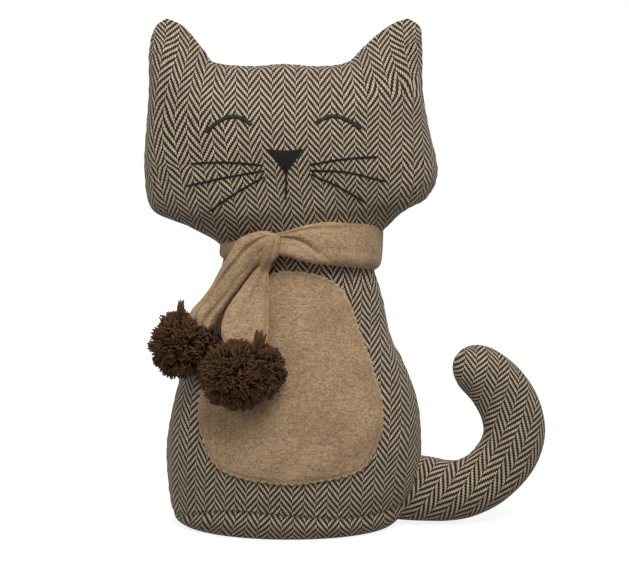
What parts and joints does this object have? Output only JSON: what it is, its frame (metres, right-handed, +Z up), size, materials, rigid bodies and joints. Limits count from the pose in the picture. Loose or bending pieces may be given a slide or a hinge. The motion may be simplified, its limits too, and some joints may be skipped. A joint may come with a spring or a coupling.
{
  "type": "weighted fabric door stop",
  "caption": "Sand-weighted fabric door stop shaped as a sitting cat, in herringbone tweed with a plush belly and a scarf that ends in yarn pompoms.",
  "frame": {"origin": "near the centre of the flat underside, on the floor", "axes": "+Z up, +X towards the tail at the viewer's right, -Y the side with the face"},
  "size_m": [0.2369, 0.1399, 0.3],
  "materials": {
    "tweed": "matte",
    "plush": "matte",
    "yarn": "matte",
    "floss": "satin",
    "fibre": "matte",
    "weight_bag": "matte"
  },
  "bodies": {
    "root": {"front_panel": "tweed", "back_panel": "tweed", "base_panel": "tweed", "weight_bag": "weight_bag", "body_filling": "fibre", "tail_front_panel": "tweed", "tail_back_panel": "tweed", "tail_filling": "fibre", "belly_patch": "plush", "scarf": "plush", "side_pompom": "yarn", "front_pompom": "yarn", "eye_left": "floss", "eye_right": "floss", "nose": "floss", "mouth": "floss", "whisker_left_upper": "floss", "whisker_left_middle": "floss", "whisker_left_lower": "floss", "whisker_right_upper": "floss", "whisker_right_middle": "floss", "whisker_right_lower": "floss"}
  },
  "joints": []
}
